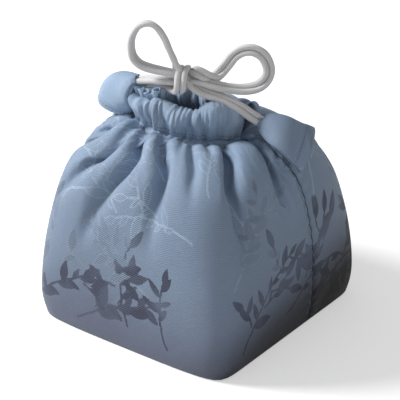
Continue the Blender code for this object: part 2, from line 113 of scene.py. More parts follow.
def taut_wall(shares, ways):
    """The wall as it would stand without folds: a grid of points, ways from 0 at the base to 1."""
    base_angles = even_angles(base_outline, shares, math.atan2(SEAM_SHIFT, BASE_SIDE / 2))
    neck_angles = even_angles(neck_outline, shares, NECK_TURN)
    neck = neck_outline(neck_angles, STITCH_OUT)
    neck = np.column_stack([neck, neck_height(neck) + STITCH_UP])
    rows = []
    for height, half, squareness in WALL_PROFILE:
        rise = max(0.0, (height - BELLY_HEIGHT) / (CROWN_HEIGHT - BELLY_HEIGHT)) ** 3
        angles = base_angles + rise * (neck_angles - base_angles)
        radius = square_radius(angles, half, squareness)
        x = radius * np.cos(angles) + rise * NECK_CENTRE[0] / 2
        y = radius * np.sin(angles) + rise * NECK_CENTRE[1] / 2
        y -= np.where(y < 0, front_bow(x, height), 0.0)
        rows.append(np.column_stack([x, y, np.full_like(x, height)]))
    crown = rows[-1]
    for way in (0.3, 0.62, 0.86, 1.0):
        row = crown + way * (neck - crown)
        row[:, 2] += CROWN_RISE * math.sin(math.pi * way)
        rows.append(row)
    rows = smooth_rows(np.array(rows), 12)
    steps = np.linalg.norm(np.diff(rows, axis=0), axis=2)
    travelled = np.concatenate([np.zeros((1, steps.shape[1])), np.cumsum(steps, axis=0)])
    travelled /= travelled[-1]
    grid = np.empty((len(ways), len(shares), 3))
    for column in range(len(shares)):
        for axis in range(3):
            grid[:, column, axis] = np.interp(ways, travelled[:, column], rows[:, column, axis])
    return grid


def smooth_rows(points, steps):
    """A curve through every row of points, with this many steps between each two."""
    padded = np.concatenate([2 * points[:1] - points[1:2], points, 2 * points[-1:] - points[-2:-1]])
    runs = []
    for before, here, after, beyond in zip(padded, padded[1:], padded[2:], padded[3:]):
        for share in np.arange(steps) / steps:
            slope, bend = after - before, 2 * before - 5 * here + 4 * after - beyond
            twist = 3 * here - before - 3 * after + beyond
            runs.append(here + 0.5 * (slope * share + bend * share**2 + twist * share**3))
    return np.array(runs + [points[-1]])


def outward(surface):
    """The unit normals of a grid whose columns close round the bag."""
    along = np.roll(surface, -1, axis=1) - np.roll(surface, 1, axis=1)
    normal = np.cross(np.gradient(surface, axis=0), along)
    return normal / np.maximum(np.linalg.norm(normal, axis=2, keepdims=True), 1e-9)


# The casing's section: millimetres outside the cords and above the neck, up its outside, over the
# fold at its top and down its inside. It stands higher and leans out at some columns: column,
# millimetres up, out. Its left end runs out in a flap from this column on.
CASING_SECTION = [
    (4.6, 2.6), (5.3, 6.0), (6.0, 10.2), (6.2, 14.8), (4.6, 19.0), (0.0, 21.2), (-4.6, 19.0),
    (-6.2, 14.8), (-6.0, 10.2), (-5.2, 6.0), (-4.0, 2.8),
]
CASING_STANDS = [
    (0, 5, 0), (12, 7, 1.5), (24, 7.5, 2.5), (36, 7.5, 2.5), (46, 4, 1), (56, 1, 0), (76, -0.5, 0),
    (84, 2, 0), (90, 4, 0.5), (98, 3, 1), (110, 0, 2.5), (122, -1, 3.5), (132, 0, 3.5), (146, 5, 1.5),
    (160, 1, 0), (200, 0, 0), (240, 2, 0), (263, 8, 0),
]
FLAP_LONG, FLAP_FIRST = 13.0, 246


def casing_wall(shares):
    """The casing's taut outline: up its outside, over the fold at its top and down its inside."""
    section = np.array(CASING_SECTION)
    dense = smooth_rows(section, 10)
    travelled = np.concatenate([[0], np.cumsum(np.linalg.norm(np.diff(dense, axis=0), axis=1))])
    steps = np.linspace(0, travelled[-1], 2 * CASING_ROWS + 1)
    angles = even_angles(neck_outline, shares, NECK_TURN)
    rows = []
    columns, higher, leaning = np.array(CASING_STANDS).T
    higher, leaning = (np.interp(shares * COLUMNS, columns, amount) for amount in (higher, leaning))
    flap = FLAP_LONG * np.clip((shares * COLUMNS - FLAP_FIRST) / (COLUMNS - FLAP_FIRST), 0, 1) ** 1.5
    for step in steps[1:]:
        out, up = (np.interp(step, travelled, dense[:, axis]) for axis in range(2))
        share = up / section[:, 1].max()
        place = neck_outline(angles, out + leaning * share)
        place += np.outer(flap * min(1.0, 2 * share), (math.cos(NECK_TURN), math.sin(NECK_TURN)))
        rows.append(np.column_stack([place, neck_height(neck_outline(angles)) + up + higher * share]))
    return np.array(rows)


# The folds that run down from the neck. Each starts at a height of the cloth, passes a column of it
# at the flank, one at the shoulder and one at the neck, and takes up a share of the spare cloth.
FOLDS = [
    (0.62, 14, 14, 8, 0.7), (0.45, 32, 38, 28, 1.9), (0.68, 56, 57, 58, 0.4), (0.50, 68, 73, 86, 2.2),
    (0.45, 91, 94, 106, 2.5), (0.54, 109, 111, 118, 1.1), (0.60, 126, 127, 129, 0.8),
    (0.55, 147, 147, 146, 1.0), (0.52, 168, 168, 166, 1.2), (0.60, 188, 188, 187, 0.8),
    (0.55, 208, 208, 208, 1.2), (0.60, 228, 228, 228, 0.8), (0.56, 247, 246, 247, 1.0),
]
FOLD_WIDTH = 3.7
# Columns where a small gather or a pucker of the stitching lies between the folds.
GATHERS = [44, 66]
TUCKS = [0, 17, 36, 54, 75, 96, 111, 122, 135, 156, 176, 198, 218, 238, 256]


def fold_depths(columns, ways, excess):
    """How far the folds, and the puckers at the stitching, lie inside the taut wall, in millimetres."""
    place = np.arange(columns) * COLUMNS / columns
    folds, puckers = np.zeros((len(ways), columns)), np.zeros((len(ways), columns))
    each = np.maximum(excess, 0) / sum(fold[-1] for fold in FOLDS)
    column_width = CLOTH_ROUND / COLUMNS
    for lowest, flank, shoulder, neck, strength in FOLDS:
        reach = np.clip((ways - lowest + 0.1) / 0.22, 0, 1) ** 2
        taken = each * strength * reach + 3 * FOLD_WIDTH
        amount = 0.5 * np.sqrt(taken**2 - (3 * FOLD_WIDTH) ** 2)
        middle = np.interp(ways, [0.5, 0.72, 1.0], [flank, shoulder, neck])
        away = (place - middle[:, None] + COLUMNS / 2) % COLUMNS - COLUMNS / 2
        folds += amount[:, None] / np.cosh(away * column_width / FOLD_WIDTH)
    lively = np.random.default_rng(7)
    small = ((folds, GATHERS, 9.0, 2.4, 0.78), (puckers, TUCKS, 1.7, 1.6, 0.9))
    for into, middles, most, wide, begins in small:
        for middle in middles:
            rise = np.clip((ways - begins - lively.uniform(-0.02, 0.02)) / (1 - begins), 0, 1)
            away = (place - middle + COLUMNS / 2) % COLUMNS - COLUMNS / 2
            into += (most * lively.uniform(0.8, 1.2) * rise * rise)[:, None] * np.exp(-((away / wide) ** 2))
    return np.minimum(folds, DEEPEST), puckers


# The creases between the casing's pleats: column, and how many columns it slants on its way up.
PLEATS = [
    (-4, 3), (23, -7), (45, 7), (62, -6), (86, 6), (95, -2), (103, 3), (110, -2), (117, 2), (124, -2),
    (132, 0), (141, 2), (150, -2), (163, 3), (179, -3), (194, 3), (209, -3), (224, 3), (238, -3), (250, 2),
]
CASING_DEEPEST = 3.4


def casing_creases(columns, rows, at_neck):
    """How far the casing lies inside its taut outline, how far it frills out, how far it stands up."""
    lively = np.random.default_rng(19)
    place = np.arange(columns) * COLUMNS / columns
    stands = lively.uniform(-1.8, 1.8, len(PLEATS))
    shallow = lively.uniform(0.75, 1.0, len(PLEATS))
    depth, up = [], []
    for share in np.linspace(0, 1, rows):
        high = 1 - abs(2 * share - 1)
        closing = [(PLEATS[0][0] + COLUMNS, 0)]
        edges = np.array([column + slant * high for column, slant in PLEATS + closing])
        pleat = np.clip(np.searchsorted(edges, place, side="right") - 1, 0, len(PLEATS) - 1)
        wide = edges[pleat + 1] - edges[pleat]
        crown = np.sin(math.pi * np.clip((place - edges[pleat]) / wide, 0, 1)) ** 0.7
        crown *= np.clip(wide / 16.0, 0.5, 1.3) * shallow[pleat]
        small = 0.6 * np.sin(place * 0.93 + 5 * high) * np.sin(place * 0.31 + 2 * high + 1.0)
        gathered = CASING_DEEPEST - (CASING_DEEPEST + 1.2 + 2.0 * high) * crown + small
        depth.append(at_neck + min(1.0, high / 0.3) * (gathered - at_neck))
        up.append(high * (stands[pleat] * crown + 3.0 * crown - 2.0))
    frill = np.sin(place * 2 * math.pi / 9.5) * np.exp(-(((place - 117) / 15.0) ** 4))
    high = 1 - np.abs(np.linspace(-1, 1, rows))
    frill = 4.5 * np.clip((high - 0.55) / 0.45, 0, 1)[:, None] * frill
    return np.array(depth), frill, np.array(up)


# How the cloth settles: how hard the padding fills it out, how stiff a bend is, how strongly the
# folds and the casing are drawn to their places, how much of its speed it keeps, its weight, how
# deep it may fold and how far it may stand proud at the foot, at the shoulder and at the casing.
PUFF, BEND, HOLD, CASING_HOLD = 0.016, 0.2, 0.025, 0.12
KEPT_SPEED, WEIGHT = 0.93, 0.002
DEEPEST, CASING_REACH = 13.0, 9.0
FOOT_PROUD, SHOULDER_PROUD = 0.7, 1.5


def thread_sets(wall, rows, columns, across, climbs):
    """The cloth's threads in sets of pairs that share no point: both ends, rest length, stiffness."""
    row, column = np.divmod(np.arange(rows * columns), columns)
    kinds = [
        (0, 1, 1.0, 1.0), (1, 0, 1.0, 1.0), (1, 1, 1.0, 0.25), (1, -1, 1.0, 0.25),
        (0, 2, 1.0, BEND), (2, 0, 1.0, BEND), (0, 4, 0.97, BEND / 8), (4, 0, 1.0, BEND / 3),
    ]
    sets = []
    for up, along, loosened, stiffness in kinds:
        for turn in range(2):
            chosen = ((row // up if up else column // along) % 2 == turn) & (row + up < rows)
            below, side = row[chosen], column[chosen]
            a = below * columns + side
            b = (below + up) * columns + (side + along) % columns
            wide = along * np.interp(below + up / 2, np.arange(rows), across)
            rest = np.hypot(wide, up * climbs[below, side]) * loosened
            half = columns // 2
            crosses = (side % half + along >= half) | (side % half + along < 0)
            keep = ~((along != 0) & crosses & (below >= wall))
            sets.append((a[keep], b[keep], rest[keep][:, None], stiffness))
    return sets


def relax_cloth(points, seed, taut, facing, wall, across, climbs, turns, pinned):
    """Lets the cloth settle: filled out by its padding against the taut wall, folding where it is long."""
    rows, columns = points.shape[:2]
    sets = thread_sets(wall, rows, columns, across, climbs)
    free = np.ones((rows, columns))
    free[pinned] = 0.0
    weight = free.reshape(-1, 1)
    along = np.roll(taut, -1, axis=1) - np.roll(taut, 1, axis=1)
    along /= np.linalg.norm(along, axis=2, keepdims=True)
    spacing = np.linalg.norm(np.roll(taut, -1, axis=1) - taut, axis=2)
    least = np.minimum(0.22 * spacing, 0.3)
    half = columns // 2
    open_ends = [half - 1, columns - 1]
    least[wall + 1 :, open_ends] = -50.0
    proud = np.full((rows, 1), FOOT_PROUD)
    proud[wall // 2 : wall] = SHOULDER_PROUD
    proud[wall + 1 :] = CASING_REACH
    deepest = np.full((rows, 1), DEEPEST)
    deepest[wall + 1 :] = CASING_REACH
    flat, drawn = points.reshape(-1, 3).copy(), seed.reshape(-1, 3)
    casing_first = (wall + 1) * columns
    seeded = ((seed - taut) * facing).sum(axis=2).ravel()
    before = flat.copy()
    upward = np.gradient(taut, axis=0)
    climb = np.linalg.norm(upward, axis=2)
    upward /= climb[..., None]
    home_row, home_column = np.divmod(np.arange(rows * columns), columns)
    home = home_row * columns + home_column
    axes = [values.reshape(-1, 3) for values in (taut, facing, along, upward)]
    taut_at, facing_at, along_at, upward_at = axes
    spacing, climb = spacing.ravel(), climb.ravel()
    proud, deepest = (np.repeat(limit, columns, axis=1).ravel() for limit in (proud, deepest))
    push = np.full((rows, 1, 1), PUFF)
    push[wall + 1 :] = PUFF * 0.7
    for turn in range(turns):
        if turn % 4 == 0:
            force = (outward(flat.reshape(rows, columns, 3)) * push).reshape(-1, 3)
            force[:, 2] -= WEIGHT
        moved = flat + weight * (KEPT_SPEED * (flat - before) + force)
        before, flat = flat, moved
        for a, b, rest, stiffness in sets:
            gap = flat[b] - flat[a]
            length = np.sqrt((gap * gap).sum(axis=1, keepdims=True))
            pull = gap * (stiffness * (length - rest) / (length * np.maximum(weight[a] + weight[b], 1e-9)))
            flat[a] += weight[a] * pull
            flat[b] -= weight[b] * pull
        grid = flat.reshape(rows, columns, 3)
        short = least - ((np.roll(grid, -1, axis=1) - grid) * along).sum(axis=2)
        nudge = (np.maximum(short, 0) * 0.4)[..., None] * along
        grid += (np.roll(nudge, 1, axis=1) - nudge) * free[..., None]
        if turn % 8 == 0:
            slid = flat - taut_at[home]
            place_row = home // columns + (slid * upward_at[home]).sum(axis=1) / climb[home]
            place_column = home % columns + (slid * along_at[home]).sum(axis=1) / spacing[home]
            place_row = np.clip(np.rint(place_row), np.where(home_row > wall, wall + 1, 0), rows - 1)
            place_row = np.where(home_row <= wall, np.minimum(place_row, wall), place_row).astype(int)
            home = place_row * columns + np.rint(place_column).astype(int) % columns
        height = ((flat - taut_at[home]) * facing_at[home]).sum(axis=1)
        excess = height - np.clip(height, -deepest, proud) + HOLD * (height - seeded[home])
        flat -= weight * excess[:, None] * facing_at[home]
        to_drawn = drawn[casing_first:] - flat[casing_first:]
        flat[casing_first:] += weight[casing_first:] * CASING_HOLD * to_drawn
    return flat.reshape(rows, columns, 3)


# From this height up a growing share of the cloth's width is left out of the folds, at the stitch
# this much of it, so the cloth is narrower there than its flat panel. The folds are also made
# flatter by this share towards the stitch, where none is deeper than the next value.
GATHER_FROM, NARROWED = 135.0, 0.3
GATHERING, NECK_DEEPEST, VERTICAL_EASE = 0.6, 2.8, 0.996


def settled_cloth(fine, start=None, turns=400):
    """The cloth at one in every fine threads, from its folded start or from a coarser cloth."""
    columns = COLUMNS // fine
    shares = np.arange(columns) / columns
    wall = (WALL_ROWS - 1) // fine
    casing = casing_wall(shares)[fine - 1 :: fine]
    ways = np.linspace(0, 1, wall + 1)
    taut = np.concatenate([taut_wall(shares, ways), casing])
    facing = outward(taut)
    facing[0] = outward(taut[:3])[1]
    round_taut = np.linalg.norm(np.roll(taut, -1, axis=1) - taut, axis=2).sum(axis=1)
    gathered = np.clip((ways * CLOTH_HEIGHT - GATHER_FROM) / (CLOTH_HEIGHT - GATHER_FROM), 0, 1)
    spare = CLOTH_ROUND * (1 - NARROWED * gathered * gathered) - round_taut[: wall + 1]
    folds, puckers = fold_depths(columns, ways, spare)
    drawn = np.interp(ways, [0.86, 1.0], [1.0, GATHERING])[:, None]
    folds, puckers = folds * drawn, puckers * drawn
    folds = np.minimum(folds, np.interp(ways, [0.9, 1.0], [DEEPEST, NECK_DEEPEST])[:, None])
    at_neck = np.minimum(folds[-1] + puckers[-1], CASING_DEEPEST)
    creases, frill, up = casing_creases(columns, len(casing), at_neck)
    depth = np.concatenate([folds + puckers, creases])
    inwards = facing.copy()
    inwards[wall:] = inwards[wall:] * (1, 1, 0.3)
    points = taut - inwards * depth[..., None]
    points[wall + 1 :] += frill[..., None] * facing[wall + 2] * (1, 1, 0)
    points[wall + 1 :, :, 2] += up
    seed = points.copy()
    across = np.linalg.norm(np.roll(seed, -1, axis=1) - seed, axis=2).mean(axis=1)
    if start is not None:
        points[:wall] = finer_rows(start, wall, columns)[:wall]
    climbs = np.linalg.norm(np.diff(seed, axis=0, append=2 * seed[-1:] - seed[-2:-1]), axis=2)
    climbs[:wall] *= VERTICAL_EASE
    climbs[wall:] = climbs[wall:].mean()
    pinned = [0, wall, len(points) - 1]
    return relax_cloth(points, seed, taut, facing, wall, across, climbs, turns, pinned), wall


def finer_rows(grid, rows, columns):
    """A grid of points read at twice as many rows and columns."""
    wide = np.stack([grid, (grid + np.roll(grid, -1, axis=1)) / 2], axis=2).reshape(len(grid), -1, 3)
    places = np.arange(rows + 1) * (len(grid) - 1) / rows
    low = np.minimum(places.astype(int), len(grid) - 2)
    share = (places - low)[:, None, None]
    return wide[low] * (1 - share) + wide[low + 1] * share


coarse, coarse_wall = settled_cloth(2, turns=300)
cloth, wall = settled_cloth(1, start=coarse[: coarse_wall + 1], turns=140)
calm = np.interp(np.linspace(0, 1, wall + 1), [0, 0.5, 0.62, 0.9, 1], [0.25, 0.25, 0.2, 0.1, 0])
calm = calm[1:-1, None, None]
for turn in range(9):
    cloth[1:wall] += calm * (cloth[2 : wall + 1] + cloth[: wall - 1] - 2 * cloth[1:wall])
for half in (cloth[wall:, : COLUMNS // 2], cloth[wall:, COLUMNS // 2 :]):
    for turn in range(2):
        half[1:-1] += 0.2 * (half[2:] + half[:-2] - 2 * half[1:-1])
        half[1:, 1:-1] += 0.15 * (half[1:, 2:] + half[1:, :-2] - 2 * half[1:, 1:-1])


# The jacquard's woven sprigs, a design of its own drawn from seeded numbers: how far inside the
# nearest leaf or stem a place lies, in millimetres, and how dark that sprig is dyed.
SPRIG_ROWS = [(2, 14, 1.0), (44, 11, 0.55), (78, 10, 0.2), (116, 10, 0.06)]


def leafy_sprigs():
    """Branches that wander over the flat cloth, with side shoots and lance-shaped leaves."""
    lively = np.random.default_rng(31)
    stems, leaves = [], []

    def shoot(foot, heading, length, dye, leafed):
        steps = max(4, int(length / 5))
        bent = heading + lively.uniform(-1.0, 1.0) * np.linspace(0, 1, steps)
        turns = bent + 0.12 * lively.standard_normal(steps)
        path = foot + np.cumsum(np.column_stack([np.sin(turns), np.cos(turns)]) * length / steps, axis=0)
        stems.append((path, dye))
        for knot in range(1 if leafed else 3, steps - 1):
            side = 1 if knot % 2 else -1
            if lively.uniform() < 0.62:
                spread = turns[knot] + side * lively.uniform(0.35, 1.15)
                leaves.append((path[knot], spread, lively.uniform(8, 20), dye, lively.uniform(0.15, 0.25)))
            elif not leafed and lively.uniform() < 0.6:
                turned = turns[knot] + side * lively.uniform(0.5, 1.0)
                shoot(path[knot], turned, lively.uniform(18, 34), dye, True)
        leaves.append((path[-1], turns[-1], lively.uniform(11, 19), dye, 0.2))

    for row, (low, count, dye) in enumerate(SPRIG_ROWS):
        for place in range(count):
            across = (place + 0.5 * (row % 2) + lively.uniform(-0.2, 0.2)) * CLOTH_ROUND / count
            heading = lively.choice([-1, 1]) * lively.uniform(0.25, 1.25)
            foot = np.array([across, low + lively.uniform(-6, 20)])
            shoot(foot, heading, lively.uniform(48, 84), dye * lively.uniform(0.7, 1.0), False)
    return stems, leaves


def woven_sprigs(places):
    """For each place on the flat cloth, how far inside a leaf or stem it is, and that sprig's dye."""
    flat = places.reshape(-1, 2)
    inside, dyed = np.full(len(flat), -4.0), np.zeros(len(flat))
    stems, leaves = SPRIGS

    def around(middle, reach):
        away = flat - middle
        away[:, 0] = (away[:, 0] + CLOTH_ROUND / 2) % CLOTH_ROUND - CLOTH_ROUND / 2
        near = np.flatnonzero((np.abs(away) < reach).all(axis=1))
        return near, away[near]

    def keep(near, amount, dye):
        better = amount > inside[near]
        inside[near[better]], dyed[near[better]] = amount[better], dye

    for foot, heading, size, dye, plump in leaves:
        near, away = around(foot, size + 4)
        along = away[:, 0] * math.sin(heading) + away[:, 1] * math.cos(heading)
        across = away[:, 0] * math.cos(heading) - away[:, 1] * math.sin(heading) - 0.06 * along
        share = np.clip(along / size, 0, 1)
        width = plump * size * np.sin(math.pi * share**0.8) ** 0.9
        beyond = np.maximum(np.maximum(-along, along - size), 0)
        keep(near, width - np.abs(across) - beyond, dye)
    for path, dye in stems:
        for here, after in zip(path, path[1:]):
            near, away = around(here, 10.0)
            run = after - here
            share = np.clip(away @ run / (run @ run), 0, 1)
            keep(near, 0.8 - np.linalg.norm(away - share[:, None] * run, axis=1), dye)
    return inside, dyed


SPRIGS = leafy_sprigs()


def cloth_mesh(name, points, places, closed=False):
    """A cloth piece from a grid of points in millimetres, with its place on the flat cloth as UV."""
    rows, columns = points.shape[:2]
    inside, dyed = woven_sprigs(places)
    index = np.arange(rows * columns).reshape(rows, columns)
    if closed:
        index = np.concatenate([index, index[:, :1]], axis=1)
        places = np.concatenate([places, places[:, :1] + (CLOTH_ROUND, 0)], axis=1)
    corners = [index[:-1, :-1], index[:-1, 1:], index[1:, 1:], index[1:, :-1]]
    faces = np.stack(corners, axis=-1).reshape(-1, 4)
    uv = [places[:-1, :-1], places[:-1, 1:], places[1:, 1:], places[1:, :-1]]
    uv = np.stack(uv, axis=2).reshape(-1, 2)
    mesh = bpy.data.meshes.new(name)
    mesh.from_pydata((points.reshape(-1, 3) * MM).tolist(), [], faces[:, ::-1].tolist())
    layer = mesh.uv_layers.new(name="cloth")
    order = uv.reshape(-1, 4, 2)[:, ::-1].reshape(-1, 2)
    layer.data.foreach_set("uv", order.astype(np.float32).ravel())
    for label, values in (("leaf", inside), ("dye", dyed)):
        attribute = mesh.attributes.new(label, "FLOAT", "POINT")
        attribute.data.foreach_set("value", values.astype(np.float32))
    mesh.shade_smooth()
    obj = bpy.data.objects.new(mesh.name, mesh)
    bpy.context.scene.collection.objects.link(obj)
    return obj


def dress(piece, material, node=None, thickness=None):
    """Gives a cloth piece its thickness, inwards from its face, its material and its place in the part."""
    if thickness:
        inwards = piece.modifiers.new("cloth thickness", "SOLIDIFY")
        inwards.thickness = thickness * MM
        inwards.offset = -1.0
        inwards.use_even_offset = False
    piece.data.materials.append(material)
    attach(piece, "root")
    if node:
        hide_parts(node)


def plain_material(name, colour, roughness):
    material = bpy.data.materials.new(name)
    material.use_nodes = True
    shader = material.node_tree.nodes["Principled BSDF"]
    shader.inputs["Base Color"].default_value = (*colour, 1.0)
    shader.inputs["Roughness"].default_value = roughness
    return material


class Nodes:
    """A node tree and a short way to add to it. A value is a number, a word, a colour or a socket."""

    def __init__(self, tree):
        self.tree = tree

    def put(self, value, socket):
        if isinstance(value, tuple):
            socket.default_value = (*value, 1.0)
        elif isinstance(value, (int, float, str)):
            socket.default_value = value
        else:
            self.tree.links.new(value, socket)

    def add(self, kind, output, inputs, **settings):
        """Adds a node with these settings and inputs and gives this output of it."""
        node = self.tree.nodes.new(kind)
        for setting, value in settings.items():
            setattr(node, setting, value)
        for socket, value in inputs.items():
            self.put(value, node.inputs[socket])
        return node.outputs[output]

    def sums(self, operation, *values):
        return self.add("ShaderNodeMath", 0, dict(enumerate(values)), operation=operation)


class Weave(Nodes):
    """The material of a cloth, a cord or a thread."""

    def __init__(self, name, roughness, sheen):
        self.material = plain_material(name, (0.2, 0.2, 0.2), roughness)
        super().__init__(self.material.node_tree)
        self.shader = self.tree.nodes["Principled BSDF"].inputs
        self.put(sheen, self.shader["Sheen Weight"])
        self.put(0.4, self.shader["Sheen Roughness"])
        self.put(0.35, self.shader["Specular IOR Level"])
        self.place = self.add("ShaderNodeTexCoord", "Object", {})

    def plus(self, first, second):
        return self.sums("ADD", first, second)

    def times(self, first, second):
        return self.sums("MULTIPLY", first, second)

    def axes(self, vector):
        split = self.tree.nodes.new("ShaderNodeSeparateXYZ")
        self.put(vector, split.inputs["Vector"])
        return split.outputs

    def on_the_flat(self):
        """The place on the flat cloth: millimetres along it and up it."""
        return self.axes(self.add("ShaderNodeUVMap", "UV", {}, uv_map="cloth"))[:2]

    def span(self, value, low, high, bottom=0.0, top=1.0):
        inputs = {"Value": value, "From Min": low, "From Max": high, "To Min": bottom, "To Max": top}
        return self.add("ShaderNodeMapRange", "Result", inputs, interpolation_type="SMOOTHSTEP")

    def blend(self, factor, first, second):
        return self.add("ShaderNodeMix", 2, {0: factor, 6: first, 7: second}, data_type="RGBA")

    def attribute(self, name):
        return self.add("ShaderNodeAttribute", "Fac", {}, attribute_name=name)

    def noise(self, scale, detail=2.0):
        inputs = {"Scale": scale, "Detail": detail, "Vector": self.place}
        return self.add("ShaderNodeTexNoise", "Fac", inputs)

    def threads(self, place, period):
        return self.sums("SINE", self.times(place, 2 * math.pi / period))

    def raise_by(self, height, depth):
        bump = self.add("ShaderNodeBump", "Normal", {"Distance": depth, "Height": height})
        self.put(bump, self.shader["Normal"])


def seen(*levels):
    """A colour as the eye gives it, 0 to 255, as the shader wants it."""
    def linear(level):
        return level / 255 / 12.92 if level < 11 else ((level / 255 + 0.055) / 1.055) ** 2.4

    return tuple(linear(level) for level in levels)


def dyed_jacquard():
    """The blue-grey jacquard, darker towards the bottom, with painted shade low on the right and along the
    side seams and a painted highlight from 160 mm up: fine ribs, and leaf sprigs woven in a coarser twill.
    """
    fabric = Weave("grey_blue_jacquard", 0.55, 0.12)
    side, up = fabric.on_the_flat()
    at = fabric.axes(fabric.place)
    cloudy = fabric.sums("SUBTRACT", fabric.noise(14.0, 3.0), 0.5)
    rise = fabric.plus(up, fabric.times(cloudy, 60.0))
    ground = fabric.blend(fabric.span(rise, 0, 75), seen(98, 106, 127), seen(123, 140, 163))
    ground = fabric.blend(fabric.span(rise, 70, 150), ground, seen(137, 158, 184))
    # From 160 mm up, on the top of the wall, the casing, its ruffles and the left tab, the ground is
    # lighter: a painted highlight.
    ground = fabric.blend(fabric.span(up, 160, 182), ground, seen(158, 180, 206))
    # Near black low on the right of the bag: partly the cloth's darker dye there, partly painted shade on
    # the side away from the key light.
    right_low_dye_and_shade = fabric.plus(at["X"], fabric.times(at["Y"], 0.4))
    right_low_dye_and_shade = fabric.sums("SUBTRACT", right_low_dye_and_shade, fabric.times(at["Z"], 1.3))
    right_low_dye_and_shade = fabric.plus(right_low_dye_and_shade, fabric.times(cloudy, 0.05))
    dark = fabric.span(right_low_dye_and_shade, -0.004, 0.08)
    ground = fabric.blend(dark, ground, seen(31, 32, 35))
    ragged = fabric.times(fabric.sums("SUBTRACT", fabric.noise(900.0), 0.5), 1.1)
    inside = fabric.plus(fabric.attribute("leaf"), ragged)
    leaf = fabric.span(inside, -0.22, 0.22)
    dye = fabric.attribute("dye")
    twill = fabric.threads(fabric.plus(side, fabric.times(up, 1.4)), 1.9)
    pale = fabric.blend(fabric.span(twill, -0.5, 0.5), seen(96, 115, 138), seen(172, 191, 212))
    rim = fabric.span(fabric.sums("ABSOLUTE", fabric.sums("SUBTRACT", inside, 0.2)), 0.55, 0.2)
    pale = fabric.blend(fabric.times(rim, 0.7), pale, seen(188, 205, 224))
    deep = fabric.blend(fabric.span(twill, -0.8, 0.8), seen(47, 47, 66), seen(66, 72, 93))
    motif = fabric.blend(fabric.span(dye, 0.1, 0.85), pale, deep)
    # The motifs go near black there too: the same darker dye and painted shade.
    motif = fabric.blend(dark, motif, seen(20, 20, 23))
    faded = fabric.span(fabric.noise(30.0, 2.0), 0.35, 0.62, 0.55, 1.0)
    shown = fabric.times(fabric.times(leaf, faded), fabric.span(dye, 0.0, 0.9, 0.7, 0.95))
    worn_and_shaded = fabric.blend(shown, ground, motif)
    # A thin dark line along each side seam: painted shade in the seam's groove.
    seam = fabric.sums("PINGPONG", side, CLOTH_ROUND / 4)
    worn_and_shaded = fabric.blend(fabric.span(seam, 0.2, 0.9, 0.75, 0.0), worn_and_shaded, seen(46, 54, 66))
    speckle = fabric.span(fabric.noise(1400.0, 3.0), 0.3, 0.7, 0.1, 0.0)
    fabric.put(fabric.blend(speckle, worn_and_shaded, seen(40, 46, 58)), fabric.shader["Base Color"])
    fabric.put(fabric.span(leaf, 0.0, 1.0, 0.5, 0.68), fabric.shader["Roughness"])
    ribs = fabric.plus(fabric.threads(up, 1.15), fabric.times(fabric.threads(side, 0.62), 0.45))
    fibre = fabric.times(fabric.noise(2600.0, 3.0), 1.6)
    woven = fabric.blend(leaf, ribs, fabric.plus(fabric.times(twill, 1.3), 1.2))
    wrinkles = fabric.times(fabric.noise(75.0, 3.0), 7.0)
    fabric.raise_by(fabric.plus(fabric.plus(woven, fibre), wrinkles), 0.00007)
    return fabric.material


jacquard = dyed_jacquard()


def doubled(points, axis, closed=False):
    """Twice as many points along one axis of a grid, on a smooth curve through those it has."""
    points = np.moveaxis(points, axis, 0)
    if closed:
        before, after, beyond = np.roll(points, 1, 0), np.roll(points, -1, 0), np.roll(points, -2, 0)
        middle = (9 * (points + after) - before - beyond) / 16
        both = np.stack([points, middle], axis=1).reshape(-1, *points.shape[1:])
    else:
        padded = np.concatenate([2 * points[:1] - points[1:2], points, 2 * points[-1:] - points[-2:-1]])
        middle = (9 * (padded[1:-2] + padded[2:-1]) - padded[:-3] - padded[3:]) / 16
        both = np.empty((2 * len(points) - 1, *points.shape[1:]))
        both[::2], both[1::2] = points, middle
    return np.moveaxis(both, 0, axis)


# The front and the back panel, one jacquard each, 302 by 175 mm before it is gathered. They are
# sewn together along the side seams, which draw a narrow groove into the cloth.
fine = doubled(doubled(cloth[: wall + 1], 1, closed=True), 0)
round_bag = np.arange(2 * COLUMNS + 1) / (2 * COLUMNS) * CLOTH_ROUND
up_bag = np.linspace(0, CLOTH_HEIGHT, len(fine))
fine = np.concatenate([fine, fine[:, :1]], axis=1)
places = np.stack(np.meshgrid(round_bag, up_bag), axis=-1)
facing_out = outward(fine[:, :-1])
for middle in (0, COLUMNS):
    away = (np.arange(2 * COLUMNS) - middle + COLUMNS) % (2 * COLUMNS) - COLUMNS
    ripples = 0.35 * np.exp(-((away / 6.0) ** 2)) * np.sin(up_bag * 0.75)[:, None]
    groove = 1.3 * np.exp(-((away / 1.6) ** 2)) + ripples
    groove[:3] = groove[-3:] = 0.0
    fine[:, :-1] -= groove[..., None] * facing_out
fine[:, -1] = fine[:, 0]
for name, first in (("front_panel", 0), ("back_panel", COLUMNS)):
    part = slice(first, first + COLUMNS + 1)
    piece = cloth_mesh(name + "_cloth", fine[:, part], places[:, part])
    dress(piece, jacquard, node=name, thickness=1.1)
    flat = (CLOTH_ROUND / 2 * MM, CLOTH_HEIGHT * MM)

# The padded lining: a cup of plain cloth quilted to 3 mm of padding, sewn in behind the panels,
# which it fills out, and clear of their deepest folds.
LINING_IN, LINING_PAD = 2.2, 3.0


